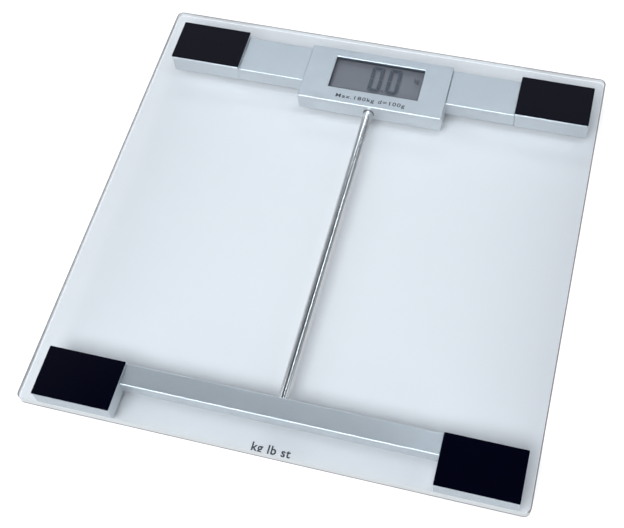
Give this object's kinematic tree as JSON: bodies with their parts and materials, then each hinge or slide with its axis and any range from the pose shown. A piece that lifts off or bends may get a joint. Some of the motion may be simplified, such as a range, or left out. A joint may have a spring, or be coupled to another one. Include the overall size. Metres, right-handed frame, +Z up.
{
  "type": "bathroom scale",
  "caption": "Square clear-glass bathroom scale on sprung sensor feet, with slim silver housings, a display housing at the rear edge and a chromed tube to the front bar.",
  "frame": {"origin": "on the floor under the middle of the glass platform", "axes": "+Z up, +Y towards the display end, +X to the right of someone who stands at the front and reads the display"},
  "size_m": [0.3, 0.3, 0.024],
  "materials": {
    "clear_glass": "polished clear tempered glass",
    "black_adhesive": "black foam adhesive seen through glass",
    "silver_paint": "satin silver paint on moulded plastic",
    "grey_plastic": "fine textured grey plastic",
    "white_plastic": "moulded white plastic",
    "button_plastic": "smooth dark plastic",
    "black_plastic": "black",
    "foot_rubber": "matte dark rubber",
    "strip_rubber": "silicone contact strip",
    "chrome": "chrome plated tube",
    "spring_steel": "nickel plated stamped steel",
    "screw_steel": "zinc plated",
    "nickel_plate": "nickel plate",
    "lcd_face": "grey reflective liquid crystal panel",
    "board_green": "solder mask",
    "gauge_film": "polyimide film",
    "lead_jacket": "soft vinyl"
  },
  "bodies": {
    "platform": {"adhesive_pad_rear_left": "black_adhesive", "foot_housing_rear_left": "silver_paint", "foot_cover_rear_left": "grey_plastic", "load_cell_rear_left": "spring_steel", "adhesive_pad_rear_right": "black_adhesive", "foot_housing_rear_right": "silver_paint", "foot_cover_rear_right": "grey_plastic", "load_cell_rear_right": "spring_steel", "adhesive_pad_front_left": "black_adhesive", "foot_housing_front_left": "silver_paint", "foot_cover_front_left": "grey_plastic", "load_cell_front_left": "spring_steel", "adhesive_pad_front_right": "black_adhesive", "foot_housing_front_right": "silver_paint", "foot_cover_front_right": "grey_plastic", "load_cell_front_right": "spring_steel", "rear_bar_left": "silver_paint", "rear_bar_cover_left": "grey_plastic", "sensor_lead_rear_left": "lead_jacket", "sensor_lead_front_left": "lead_jacket", "rear_bar_right": "silver_paint", "rear_bar_cover_right": "grey_plastic", "sensor_lead_rear_right": "lead_jacket", "sensor_lead_front_right": "lead_jacket", "glass_platform": "clear_glass", "front_bar": "silver_paint", "front_bar_cover": "grey_plastic", "cross_tube": "chrome", "tube_collars": "grey_plastic", "display_housing": "silver_paint", "display_base": "grey_plastic", "unit_switch": "black_plastic", "lcd_panel": "lcd_face", "lcd_holder": "white_plastic", "contact_strip": "strip_rubber", "circuit_board": "board_green", "controller_chip": "black_plastic", "tap_sensor": "spring_steel", "coin_cell": "nickel_plate", "battery_contact_minus": "nickel_plate", "battery_contact_plus": "nickel_plate", "strain_gauges": "gauge_film", "cover_screws": "screw_steel", "base_screws": "screw_steel", "board_screws": "screw_steel"},
    "foot_rear_left": {"foot_cup_rear_left": "white_plastic", "rubber_foot_rear_left": "foot_rubber"},
    "foot_rear_right": {"foot_cup_rear_right": "white_plastic", "rubber_foot_rear_right": "foot_rubber"},
    "foot_front_left": {"foot_cup_front_left": "white_plastic", "rubber_foot_front_left": "foot_rubber"},
    "foot_front_right": {"foot_cup_front_right": "white_plastic", "rubber_foot_front_right": "foot_rubber"},
    "unit_key": {"unit_button": "button_plastic", "switch_plunger": "button_plastic"},
    "door": {"battery_door": "grey_plastic"}
  },
  "joints": [
    {"name": "foot_press_rear_left", "type": "slide", "parent": "platform", "child": "foot_rear_left", "axis": [0, 0, 1], "range_m": [0, 0.0008], "stiffness_N_per_m": 50000, "springref_m": -0.0002},
    {"name": "foot_press_rear_right", "type": "slide", "parent": "platform", "child": "foot_rear_right", "axis": [0, 0, 1], "range_m": [0, 0.0008], "stiffness_N_per_m": 50000, "springref_m": -0.0002},
    {"name": "foot_press_front_left", "type": "slide", "parent": "platform", "child": "foot_front_left", "axis": [0, 0, 1], "range_m": [0, 0.0008], "stiffness_N_per_m": 50000, "springref_m": -0.0002},
    {"name": "foot_press_front_right", "type": "slide", "parent": "platform", "child": "foot_front_right", "axis": [0, 0, 1], "range_m": [0, 0.0008], "stiffness_N_per_m": 50000, "springref_m": -0.0002},
    {"name": "unit_key_press", "type": "slide", "parent": "platform", "child": "unit_key", "axis": [0, 0, 1], "range_m": [0, 0.0005], "stiffness_N_per_m": 600, "springref_m": -0.0003},
    {"name": "battery_door_hinge", "type": "hinge", "parent": "platform", "child": "door", "pos_m": [-0.026, 0.132, 0.006], "axis": [1, 0, 0], "range_deg": [0, 80]}
  ]
}
